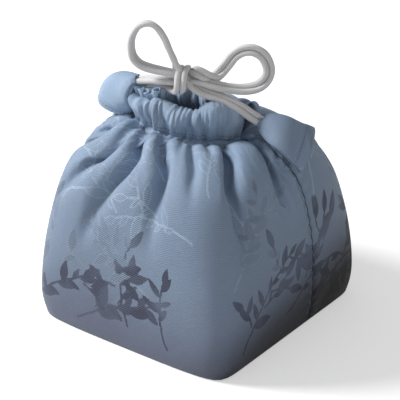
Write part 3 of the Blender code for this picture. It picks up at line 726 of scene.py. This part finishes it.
def plain_lining():
    """The lining: a plain weave quilted to its padding in lines 12 mm apart, with painted shade along the
    lines.
    """
    fabric = Weave("quilted_lining", 0.85, 0.1)
    side, up = fabric.on_the_flat()
    one = fabric.sums("ABSOLUTE", fabric.threads(fabric.plus(side, up), 24.0))
    other = fabric.sums("ABSOLUTE", fabric.threads(fabric.sums("SUBTRACT", side, up), 24.0))
    quilt = fabric.sums("POWER", fabric.times(one, other), 0.35)
    mottled = fabric.noise(60.0, 4.0)
    colour = fabric.blend(mottled, seen(62, 70, 84), seen(84, 94, 110))
    # The quilted lines are darker: painted shade in their grooves.
    fabric.put(fabric.blend(quilt, seen(44, 50, 62), colour), fabric.shader["Base Color"])
    weave = fabric.times(fabric.threads(side, 0.6), fabric.threads(up, 0.6))
    weave = fabric.times(weave, 0.05)
    fabric.raise_by(fabric.plus(fabric.times(quilt, 1.0), weave), 0.0012)
    return fabric.material


lining_cloth = plain_lining()
taut = taut_wall(np.arange(COLUMNS) / COLUMNS, np.linspace(0, 1, wall + 1))
facing_in = outward(taut)
low = ((taut - cloth[: wall + 1]) * facing_in).sum(axis=2)
for reach, axis in ((6, 1), (2, 0)):
    low = np.max([np.roll(low, shift, axis=axis) for shift in range(-reach, reach + 1)], axis=0)
for turn in range(10):
    low = 0.5 * low + 0.25 * (np.roll(low, 1, axis=1) + np.roll(low, -1, axis=1))
    low[1:-1] = 0.5 * low[1:-1] + 0.25 * (low[2:] + low[:-2])
low = np.maximum(low, 0)
low[:8] = np.minimum(low[:8], 2.0)
inner = (taut - facing_in * (low + LINING_IN)[..., None])[::2, ::2]
inner[:, :, 2] = np.maximum(inner[:, :, 2], 4.2)
inner = np.concatenate([inner[:1] * (0.0, 0.0, 1.0), inner[:1] * (0.5, 0.5, 1.0), inner])
side = np.arange(inner.shape[1]) * 2 / COLUMNS * CLOTH_ROUND
up = np.arange(len(inner)) * CLOTH_HEIGHT / len(inner)
lining = cloth_mesh("padded_lining_quilt", inner, np.stack(np.meshgrid(side, up), axis=-1), closed=True)
dress(lining, lining_cloth, node="padded_lining", thickness=LINING_PAD)

# The base panel: two squares of the jacquard on a stiff pad 3.4 mm thick, its edge turned in under
# the wall's hem. Its rings run from the middle below, round the edge, to the middle above.
BASE_RINGS = [
    (74.4, 0.2), (30.0, 0.2), (1.6, 0.0), (0.9, 0.3), (0.7, 1.4), (1.0, 2.9), (2.0, 3.4), (30.0, 3.4),
    (74.4, 3.4),
]
angles = even_angles(base_outline, np.arange(COLUMNS) / COLUMNS, 0.0)
base_rings = []
for inset, height in BASE_RINGS:
    ring = base_outline(angles, inset)
    keep = np.minimum(1.0, (74.5 - inset) / 74.5)
    ring[:, 1] -= np.where(ring[:, 1] < 0, front_bow(ring[:, 0], height) * keep, 0.0)
    base_rings.append(np.column_stack([ring, np.full(len(angles), height)]))
base_rings = np.array(base_rings)[::-1]
base = cloth_mesh("base_panel_cloth", base_rings, base_rings[:, :, :2], closed=True)
dress(base, jacquard, node="base_panel")

# The casing: the upper edge of each panel turned in and sewn down, which makes a channel for the
# cords. The drawn cords gather it, and it is open at both side seams.
for name, first in (("front_casing", 0), ("back_casing", COLUMNS // 2)):
    rows = doubled(doubled(cloth[wall:, first : first + COLUMNS // 2], 1), 0)
    side = (first + np.arange(rows.shape[1]) / 2) / COLUMNS * CLOTH_ROUND
    up = CLOTH_HEIGHT + np.arange(rows.shape[0]) * 1.3
    piece = cloth_mesh(name + "_cloth", rows, np.stack(np.meshgrid(side, up), axis=-1))
    dress(piece, jacquard, node=name, thickness=0.7)

# The hem ruffles: where the casing's ends are bunched at the left, their doubled hems lie in two
# close ruffles on the pile. Each has its first and last column, lean, rise and wave length.
HEM_RUFFLES = [(366, 524, 3.6, -0.6, 38.0), (386, 524, -0.6, 1.2, 31.0)]
lively = np.random.default_rng(5)
crest = doubled(doubled(cloth[wall + 1 + CASING_ROWS // 2 : wall + 2 + CASING_ROWS], 1), 1)
for count, (first, last, lean, rise, period) in enumerate(HEM_RUFFLES):
    line = crest[-1, first:last].copy()
    for turn in range(30):
        line[1:-1] = 0.5 * line[1:-1] + 0.25 * (line[2:] + line[:-2])
    run = np.arange(len(line))
    way = np.gradient(line, axis=0)
    aside = np.column_stack([way[:, 1], -way[:, 0], np.zeros(len(line))])
    aside /= np.linalg.norm(aside, axis=1, keepdims=True)
    phase = run * 2 * math.pi / period + np.cumsum(lively.uniform(-0.12, 0.12, len(run)))
    swing = np.clip(run / 12, 0, 1) * np.clip((len(run) - run) / 12, 0, 1)
    rows = []
    for up in np.linspace(0, 1, 8):
        wave = (0.8 + 2.4 * up) * swing * np.sin(phase)
        row = line + aside * (lean * (0.5 + 0.8 * up * up) + wave)[:, None]
        row[:, 2] += rise - 2.6 + 8.6 * up - 1.6 * up * up + 0.9 * up * np.sin(phase * 0.37 + count)
        rows.append(row)
    rows = np.array(rows)
    flat = np.stack(np.meshgrid(run * 0.9, CLOTH_HEIGHT + np.arange(8)), axis=-1)
    hem = cloth_mesh(f"left_hem_ruffle_{count + 1}", rows, flat)
    dress(hem, jacquard, thickness=0.8)


# The sewing: spun thread a shade off the cloth's own colour, in short running stitches along the
# casing, the side seams and the tabs' hems.
def grower(name, inputs, output):
    """An empty Geometry Nodes tree with these inputs, a kind and a value each, and this output."""
    tree = bpy.data.node_groups.new(name, "GeometryNodeTree")
    for label, (kind, value) in inputs.items():
        socket = tree.interface.new_socket(name=label, in_out="INPUT", socket_type="NodeSocket" + kind)
        if value is not None:
            socket.default_value = value
    tree.interface.new_socket(name=output, in_out="OUTPUT", socket_type="NodeSocketGeometry")
    return Nodes(tree), tree.nodes.new("NodeGroupInput").outputs, tree.nodes.new("NodeGroupOutput").inputs


def stitch_tree():
    """Geometry Nodes that set a stitch at every pitch along a line of edges."""
    inputs = {
        "Line": ("Geometry", None), "Pitch": ("Float", 0.0026), "Stitch": ("Float", 0.0017),
        "Thickness": ("Float", 0.0005), "Thread": ("Material", None),
    }
    sewing, given, result = grower("running_stitch", inputs, "Stitches")
    line = sewing.add("GeometryNodeMeshToCurve", "Curve", {"Mesh": given["Line"]})
    evenly = {"Curve": line, "Length": given["Pitch"]}
    evenly = sewing.add("GeometryNodeResampleCurve", "Curve", evenly, mode="LENGTH")
    bead = sewing.add("GeometryNodeMeshUVSphere", "Mesh", {"Segments": 8, "Rings": 6, "Radius": 0.5})
    bead = sewing.add("GeometryNodeSetShadeSmooth", "Geometry", {"Geometry": bead})
    size = {"X": given["Stitch"], "Y": given["Thickness"], "Z": given["Thickness"]}
    size = sewing.add("ShaderNodeCombineXYZ", "Vector", size)
    tangent = sewing.add("GeometryNodeInputTangent", "Tangent", {})
    turned = sewing.add("FunctionNodeAlignRotationToVector", "Rotation", {"Vector": tangent}, axis="X")
    placed = {"Points": evenly, "Instance": bead, "Rotation": turned, "Scale": size}
    placed = sewing.add("GeometryNodeInstanceOnPoints", "Instances", placed)
    real = sewing.add("GeometryNodeRealizeInstances", "Geometry", {"Geometry": placed})
    thread = {"Geometry": real, "Material": given["Thread"]}
    sewing.put(sewing.add("GeometryNodeSetMaterial", "Geometry", thread), result["Stitches"])
    return sewing.tree


def grown(name, path, tree, values):
    """What a tree grows with these inputs along a path in millimetres, as a plain mesh object."""
    line = bpy.data.meshes.new(name + "_line")
    line.from_pydata((path * MM).tolist(), [(step, step + 1) for step in range(len(path) - 1)], [])
    seed = bpy.data.objects.new(name + "_line", line)
    bpy.context.scene.collection.objects.link(seed)
    modifier = seed.modifiers.new("grow", "NODES")
    modifier.node_group = tree
    for item in tree.interface.items_tree:
        if item.in_out == "INPUT" and item.name in values:
            modifier[item.identifier] = values[item.name]
    graph = bpy.context.evaluated_depsgraph_get()
    made = bpy.data.meshes.new_from_object(seed.evaluated_get(graph))
    made.name = name
    bpy.data.objects.remove(seed)
    piece = bpy.data.objects.new(name, made)
    bpy.context.scene.collection.objects.link(piece)
    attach(piece, "root")
    return piece


def matching_thread():
    """Spun thread, lighter and darker along its twist."""
    spun = Weave("blue_sewing_thread", 0.5, 0.1)
    tone = spun.noise(1800.0)
    spun.put(spun.blend(tone, seen(90, 104, 123), seen(130, 146, 167)), spun.shader["Base Color"])
    spun.raise_by(tone, 0.00008)
    return spun.material


sewing_thread, running_stitch = matching_thread(), stitch_tree()


def sewn_line(name, path):
    """Running stitches along a path in millimetres."""
    grown(name, path, running_stitch, {"Thread": sewing_thread})


casing_out = outward(cloth[wall:])
for name, first in (("front_casing", 1), ("back_casing", COLUMNS // 2 + 1)):
    part = slice(first, first + COLUMNS // 2 - 2)
    sewn_line(name + "_stitches", cloth[wall + 1, part] + 0.3 * casing_out[1, part])
for name, column in (("right", 3), ("left", COLUMNS + 3)):
    seam = fine[:, :-1] + 0.15 * outward(fine[:, :-1])
    sewn_line(name + "_seam_stitches", seam[6:-8, column])

# The tabs: a square of the jacquard folded over each cord's two ends, gathered there and left open
# at its hem. Each station has a place in the bow's frame, the tab's broad way, and half its width
# and depth.
BOW_TURN = math.radians(36.8)
RIGHT_TAB = [
    (38.7, 12.8, 141.6, -0.2, 0.8, -0.6, 4.8, 2.8), (41.8, 13.2, 140.0, -0.2, 0.8, -0.6, 6.2, 3.2),
    (47.0, 19.0, 140.4, -0.2, 0.8, -0.6, 9.6, 3.8), (54.8, 24.5, 138.0, -0.2, 0.84, -0.54, 12.8, 4.0),
    (63.2, 25.5, 131.8, -0.26, 0.84, -0.52, 15.2, 4.2), (69.5, 23.4, 125.6, -0.32, 0.84, -0.52, 17.2, 4.6),
]
LEFT_TAB = [
    (-38.4, -5.0, 161.4, 0, 1, 0.1, 4.8, 3.4), (-42.0, -6.4, 159.8, 0.2, 1, 0.1, 7.6, 4.2),
    (-46.4, -9.0, 155.6, 0.6, 1, 0.15, 10.8, 5.8), (-50.0, -12.0, 150.6, 1, 1, 0.15, 12.8, 7.0),
    (-52.0, -14.6, 145.6, 1, 0.8, 0.2, 13.4, 7.2), (-53.0, -16.6, 140.6, 1, 0.6, 0.2, 13.2, 6.8),
    (-53.6, -18.2, 136.0, 1, 0.5, 0.2, 12.6, 6.0),
]
TAB_SIDES, TAB_HEM, TAB_ROUND = 72, 8.0, 60.0
TAB_STEPS, HEM_STEPS = 10, 18


def bow_to_world(places):
    """From the bow's own millimetres to the bag's."""
    along, front, height = np.moveaxis(np.asarray(places, float), -1, 0)
    x = along * math.cos(BOW_TURN) + front * math.sin(BOW_TURN)
    y = along * math.sin(BOW_TURN) - front * math.cos(BOW_TURN)
    return np.stack([x, y, height], axis=-1)


def tab_cloth(name, stations, tone_and_highlight_height):
    """A tab's outside from the cord's end to its open end, with the hem turned in there."""
    stations = smooth_rows(np.asarray(stations, float), TAB_STEPS)
    middle, across, size = stations[:, :3], stations[:, 3:6], stations[:, 6:]
    ways = np.gradient(middle, axis=0)
    ways /= np.linalg.norm(ways, axis=1, keepdims=True)
    across = across - (across * ways).sum(axis=1, keepdims=True) * ways
    across /= np.linalg.norm(across, axis=1, keepdims=True)
    through = np.cross(ways, across)
    turns = np.arange(TAB_SIDES) * 2 * math.pi / TAB_SIDES
    run = np.concatenate([[0], np.cumsum(np.linalg.norm(np.diff(middle, axis=0), axis=1))])
    rings, places = [], []
    last = len(stations) - 1
    order = [(step, 0.0) for step in range(last + 1)]
    order += [(step, 0.9) for step in range(last, last - HEM_STEPS, -1)]
    for step, inset in order:
        wide, deep = size[step]
        crumple = 0.55 * np.exp(-run[step] / 11.0) * np.sin(5 * turns + 1.0)
        crumple += 0.25 * np.sin(3 * turns + run[step] / 5)
        lean = np.sign(np.sin(turns)) * np.abs(np.sin(turns)) ** 0.8
        crumple = crumple - 0.7 * math.exp(-(((run[last] - run[step] - TAB_HEM) / 1.0) ** 2)) * lean
        ring = middle[step] + np.outer(np.cos(turns) * (wide - inset), across[step])
        ring += np.outer(lean * (deep - inset + crumple), through[step])
        rings.append(ring)
        up = np.full(TAB_SIDES, tone_and_highlight_height + run[step] + 10.0 * inset)
        places.append(np.column_stack([turns / (2 * math.pi) * TAB_ROUND, up]))
    return cloth_mesh(name, bow_to_world(np.array(rings)), np.array(places), closed=True)


# Each tab's height on the flat cloth sets its tone; at 160 mm the left tab falls in the lighter band, a
# painted highlight.
for name, stations, tone_and_highlight_height in (("right_tab", RIGHT_TAB, 78.0), ("left_tab", LEFT_TAB, 160.0)):
    tab = tab_cloth(name + "_cloth", stations, tone_and_highlight_height)
    dress(tab, jacquard, node=name, thickness=0.5)
    hem = TAB_STEPS * (len(stations) - 1) - int(TAB_HEM)
    corners = [tab.data.vertices[hem * TAB_SIDES + side % TAB_SIDES] for side in range(TAB_SIDES + 1)]
    sewn_line(name + "_stitches", np.array([corner.co / MM + 0.2 * corner.normal for corner in corners]))

# The cords: two lengths of 4 mm round braid. Each runs once round the neck inside the casing,
# and both of its ends come out at one side, are tied in the bow and are sewn into a tab. Each
# point has a place in the bow's frame and the way from the back strand to the front one.
CORD = 4.0
LEFT_ROUTE = [
    (-36.6, -4.6, 144.2, 0, -1, 0), (-36.2, -4.8, 151.0, 0, -1, -0.1), (-33.0, -4.6, 156.6, 0, -1, -0.2),
    (-27.4, -3.0, 158.9, 0.1, -1, -0.3), (-20.8, -0.4, 159.0, 0.5, -0.9, -0.2),
    (-15.6, 3.4, 158.8, 0.7, -0.7, 0), (-12.7, 8.2, 159.8, 0.95, -0.3, 0), (-11.8, 11.2, 162.8, 1, 0, 0),
    (-11.5, 12.0, 166.6, 1, 0, 0), (-11.1, 10.4, 170.6, 1, 0, 0), (-10.0, 5.8, 173.6, 1, 0, 0),
    (-8.8, 0.6, 172.8, 1, 0, 0), (-8.2, -4.2, 170.0, 1, 0, 0), (-7.8, -5.8, 165.3, 1, 0, 0),
    (-8.2, -4.4, 160.9, 1, 0, 0), (-9.1, 0.0, 158.8, 1, 0, 0), (-10.1, 4.5, 160.7, 1, 0, 0),
    (-11.0, 6.2, 165.2, 1, 0.1, 0), (-12.6, 5.6, 171.6, 0.8, 0.6, 0.1), (-15.0, 3.9, 178.8, 0.1, 1, 0.1),
    (-18.2, 3.4, 186.3, 0.2, 1, 0.1), (-21.4, 2.6, 194.2, 0.3, 1, 0.1), (-25.8, 1.6, 200.8, 0.3, 1, 0.2),
    (-31.4, 0.6, 203.8, 0.1, 1, 0.3), (-37.7, 0.0, 201.5, -0.2, 1, 0.2),
    (-41.8, 0.0, 194.8, -0.3, 1, 0.1), (-42.8, 0.2, 187.3, -0.3, 1, 0),
    (-41.4, 1.0, 180.5, -0.3, 1, -0.2), (-36.8, 2.0, 175.8, -0.1, 1, -0.2),
    (-30.0, 3.0, 173.4, 0, 1, -0.2), (-22.5, 4.0, 172.0, 0, 1, -0.1), (-16.1, 4.3, 170.6, 0, 1, 0),
    (-9.0, 4.6, 167.4, -0.1, 1, -0.1), (-3.0, 7.4, 162.8, -0.1, 1, -0.3),
    (4.0, 9.9, 159.5, -0.1, 1, -0.36), (11.5, 10.9, 156.9, -0.2, 1, -0.36),
    (19.8, 12.0, 153.9, -0.3, 1, -0.5), (27.4, 13.0, 149.9, -0.4, 1, -0.7),
    (33.6, 12.9, 145.2, -0.5, 1, -0.9), (38.0, 12.8, 142.0, -0.5, 1, -0.9),
    (40.6, 13.1, 140.7, -0.5, 1, -0.9),
]
RIGHT_ROUTE = [
    (27.2, 5.2, 134.0, 0, 1, 0), (27.0, 4.8, 141.0, 0, 1, 0), (25.0, 3.8, 146.6, 0, 1, 0.2),
    (19.6, 2.2, 151.2, 0, 1, 0.3), (12.0, 0.2, 155.0, 0, 1, 0.2), (3.6, -2.4, 158.6, 0, 1, 0.1),
    (-2.6, -4.8, 162.2, 0.5, 1, 0), (-4.6, -4.0, 166.8, 0.8, 0.5, 0.2),
    (-3.4, 0.2, 170.2, 0.8, -0.1, 0.5), (0.6, 4.4, 171.0, 0.6, -0.2, 0.7), (4.8, 6.2, 169.6, 0.6, 0, 0.8),
    (8.4, 4.6, 167.6, 0.6, 0.3, 0.7), (11.4, 0.6, 166.6, 0.6, 0.6, -0.2),
    (15.2, -2.0, 169.6, 0.8, 0.3, -0.6), (18.9, -1.0, 175.0, 0.8, 0.2, -0.6),
    (22.6, 0.0, 180.7, 0.7, 0.2, -0.8), (28.2, 1.0, 184.9, 0.3, 0.2, -1.0),
    (35.0, 2.0, 185.8, -0.2, 0.2, -1.0), (41.3, 3.0, 182.4, -0.7, 0.2, -0.7),
    (44.6, 4.0, 176.2, -1.0, 0.3, -0.2), (45.0, 5.0, 170.6, -1.0, 0.2, 0.4),
    (42.2, 6.0, 165.4, -0.7, -0.2, 0.8), (36.8, 6.6, 161.9, -0.3, -0.6, 0.8),
    (28.6, 7.0, 160.6, -0.1, -0.9, 0.6), (19.0, 7.3, 161.6, 0.1, -1, 0.36),
    (9.4, 7.0, 163.8, 0.1, -1, 0.36), (4.0, 6.0, 165.2, 0.1, -1, 0.36), (-2.0, 4.4, 165.6, 0.1, -1, 0.2),
    (-9.0, 3.5, 164.2, 0, -1, 0), (-16.1, 3.2, 164.6, 0, -1, 0), (-22.6, 2.0, 164.3, 0, -1, 0),
    (-29.2, -0.8, 163.7, 0, -1, 0), (-34.4, -3.4, 162.6, 0, -1, 0), (-38.0, -4.8, 161.6, 0, -1, 0),
    (-40.6, -5.6, 161.0, 0, -1, 0),
]


def braid_tree():
    """Geometry Nodes that lay a round braid along a line of edges, its plaits standing proud."""
    inputs = {
        "Line": ("Geometry", None), "Diameter": ("Float", 0.004), "Step": ("Float", 0.00034),
        "Plait Length": ("Float", 0.0017), "Relief": ("Float", 0.00024), "Plaits": ("Int", 8),
        "Yarn": ("Material", None),
    }
    braid, given, result = grower("round_braid", inputs, "Braid")
    sums = braid.sums

    def stored(geometry, name, value):
        inputs = {"Name": name, "Geometry": geometry, "Value": value}
        store = {"data_type": "FLOAT", "domain": "POINT"}
        return braid.add("GeometryNodeStoreNamedAttribute", "Geometry", inputs, **store)

    def named(name):
        inputs = {"Name": name}
        return braid.add("GeometryNodeInputNamedAttribute", "Attribute", inputs, data_type="FLOAT")

    line = braid.add("GeometryNodeMeshToCurve", "Curve", {"Mesh": given["Line"]})
    evenly = {"Curve": line, "Length": given["Step"]}
    evenly = braid.add("GeometryNodeResampleCurve", "Curve", evenly, mode="LENGTH")
    laid = stored(evenly, "run", braid.add("GeometryNodeSplineParameter", "Length", {}))
    ring = {
        "Resolution": sums("MULTIPLY", given["Plaits"], 4.0),
        "Radius": sums("MULTIPLY", given["Diameter"], 0.5),
    }
    ring = braid.add("GeometryNodeCurvePrimitiveCircle", "Curve", ring)
    profile = stored(ring, "turn", braid.add("GeometryNodeSplineParameter", "Factor", {}))
    swept = {"Curve": laid, "Profile Curve": profile, "Fill Caps": True}
    swept = braid.add("GeometryNodeCurveToMesh", "Mesh", swept)
    half_round = sums("MULTIPLY", sums("MULTIPLY", named("turn"), given["Plaits"]), math.pi)
    half_run = sums("MULTIPLY", sums("DIVIDE", named("run"), given["Plait Length"]), math.pi)
    one = sums("ABSOLUTE", sums("SINE", sums("ADD", half_round, half_run)))
    other = sums("ABSOLUTE", sums("SINE", sums("SUBTRACT", half_round, half_run)))
    plait = sums("MULTIPLY", one, other)
    kept = stored(swept, "plait", plait)
    lift = sums("MULTIPLY", sums("SUBTRACT", plait, 0.5), given["Relief"])
    away = {0: braid.add("GeometryNodeInputNormal", "Normal", {}), "Scale": lift}
    away = braid.add("ShaderNodeVectorMath", "Vector", away, operation="SCALE")
    raised = braid.add("GeometryNodeSetPosition", "Geometry", {"Geometry": kept, "Offset": away})
    smooth = braid.add("GeometryNodeSetShadeSmooth", "Geometry", {"Geometry": raised})
    real = braid.add("GeometryNodeRealizeInstances", "Geometry", {"Geometry": smooth})
    yarn = {"Geometry": real, "Material": given["Yarn"]}
    braid.put(braid.add("GeometryNodeSetMaterial", "Geometry", yarn), result["Braid"])
    return braid.tree


def braided_yarn():
    """Pale soft yarn: each plait is light on its crown, with painted shade where it dips under the next."""
    cord = Weave("pale_braided_cord", 0.62, 0.25)
    # The dips between plaits get the darker colour: painted shade.
    crown = cord.sums("POWER", cord.sums("MAXIMUM", cord.attribute("plait"), 0.0), 0.55)
    mottled = cord.blend(cord.noise(120.0, 3.0), seen(228, 227, 226), seen(244, 243, 242))
    cord.put(cord.blend(crown, seen(160, 160, 166), mottled), cord.shader["Base Color"])
    cord.raise_by(cord.noise(3500.0, 3.0), 0.00006)
    return cord.material


cord_yarn, round_braid = braided_yarn(), braid_tree()


def braided_cord(name, path):
    """A round braid along this path, in millimetres."""
    return grown(name, path, round_braid, {"Yarn": cord_yarn})


def strand_paths(route):
    """The two strands' middles along a pair's route."""
    curve = smooth_rows(np.asarray(route, float), 8)
    middle, spread = curve[:, :3], curve[:, 3:]
    ways = np.gradient(middle, axis=0)
    ways /= np.linalg.norm(ways, axis=1, keepdims=True)
    spread = spread - (spread * ways).sum(axis=1, keepdims=True) * ways
    spread /= np.linalg.norm(spread, axis=1, keepdims=True)
    apart = CORD / 2
    return {"front": bow_to_world(middle + apart * spread), "back": bow_to_world(middle - apart * spread)}


for side, route, stretches, tab in (
    ("left", LEFT_ROUTE, ("left_lead", "left_loop", "right_tail"), "right_tab"),
    ("right", RIGHT_ROUTE, ("right_lead", "right_loop", "left_tail"), "left_tab"),
):
    for strand, path in strand_paths(route).items():
        piece = braided_cord(f"{side}_cord_{strand}", path)
        nodes = [f"{stretch}_{strand}" for stretch in stretches]
        if (side, strand) == ("left", "front"):
            nodes.append("bow_knot")
        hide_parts(*nodes)

# The cords inside the casing, one above the other: each goes round the neck from where it comes in
# at one side seam to where it comes out, and is sewn to nothing.
CHANNEL_CORDS = {"right_channel_cord": (7.8, 0.0), "left_channel_cord": (12.1, 0.5)}
CHANNEL_END, CHANNEL_POINTS = 0.033, 90
for name, (up, first) in CHANNEL_CORDS.items():
    shares = (first + np.linspace(CHANNEL_END, 1 - CHANNEL_END, CHANNEL_POINTS)) % 1
    ring = neck_outline(even_angles(neck_outline, shares, NECK_TURN))
    piece = braided_cord(name + "_braid", np.column_stack([ring, neck_height(ring) + up]))
    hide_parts(name)


# The stage: a pale matt floor, the camera as in the photo, a soft key light from the upper left, a
# weak fill from the right and an even grey room.
def pale_floor():
    """A pale matt floor whose lit part looks white to the camera."""
    material = plain_material("pale_floor", (0.8, 0.8, 0.8), 0.9)
    shader = material.node_tree.nodes["Principled BSDF"]
    shader.inputs["Emission Color"].default_value = (1, 1, 1, 1)
    floor_nodes = Nodes(material.node_tree)
    camera_ray = floor_nodes.add("ShaderNodeLightPath", "Is Camera Ray", {})
    floor_nodes.put(floor_nodes.sums("MULTIPLY", camera_ray, 0.42), shader.inputs["Emission Strength"])
    return material


floor_mesh = bpy.data.meshes.new("floor")
floor_mesh.from_pydata([(-3, -3, 0), (3, -3, 0), (3, 3, 0), (-3, 3, 0)], [], [(0, 1, 2, 3)])
floor = bpy.data.objects.new("floor", floor_mesh)
bpy.context.scene.collection.objects.link(floor)
floor.data.materials.append(pale_floor())

AZIMUTH, ELEVATION, DISTANCE = math.radians(36.83), math.radians(28.21), 1.5
target = Vector((0.0, 0.0, 0.08))
back = Vector((
    math.sin(AZIMUTH) * math.cos(ELEVATION), -math.cos(AZIMUTH) * math.cos(ELEVATION),
    math.sin(ELEVATION),
))
camera = bpy.data.objects.new("camera", bpy.data.cameras.new("camera"))
bpy.context.scene.collection.objects.link(camera)
camera.location = target + DISTANCE * back
camera.rotation_euler = back.to_track_quat("Z", "Y").to_euler()
FOCAL, PICTURE, CENTRE_X, CENTRE_Y, SENSOR = 2277.0, 400.0, 198.2, 195.2, 36.0
camera.data.sensor_width = SENSOR
camera.data.lens = FOCAL / PICTURE * SENSOR
camera.data.shift_x = (PICTURE / 2 - CENTRE_X) / PICTURE
camera.data.shift_y = -(PICTURE / 2 - CENTRE_Y) / PICTURE
bpy.context.scene.camera = camera


def soft_light(name, place, aim, size, power):
    data = bpy.data.lights.new(name, "AREA")
    data.shape, data.size, data.energy = "DISK", size, power
    lamp = bpy.data.objects.new(name, data)
    lamp.location = place
    lamp.rotation_euler = (Vector(place) - Vector(aim)).to_track_quat("Z", "Y").to_euler()
    bpy.context.scene.collection.objects.link(lamp)


soft_light("key_window", (-1.5, -0.75, 1.4), (0, 0, 0.08), 0.7, 54.0)
soft_light("fill", (1.6, -0.6, 0.7), (0, 0, 0.08), 1.2, 2.4)
world = bpy.data.worlds.new("room")
bpy.context.scene.world = world
world.use_nodes = True
world.node_tree.nodes["Background"].inputs["Color"].default_value = (1, 1, 1, 1)
world.node_tree.nodes["Background"].inputs["Strength"].default_value = 0.35
bpy.context.scene.view_settings.view_transform = "Standard"
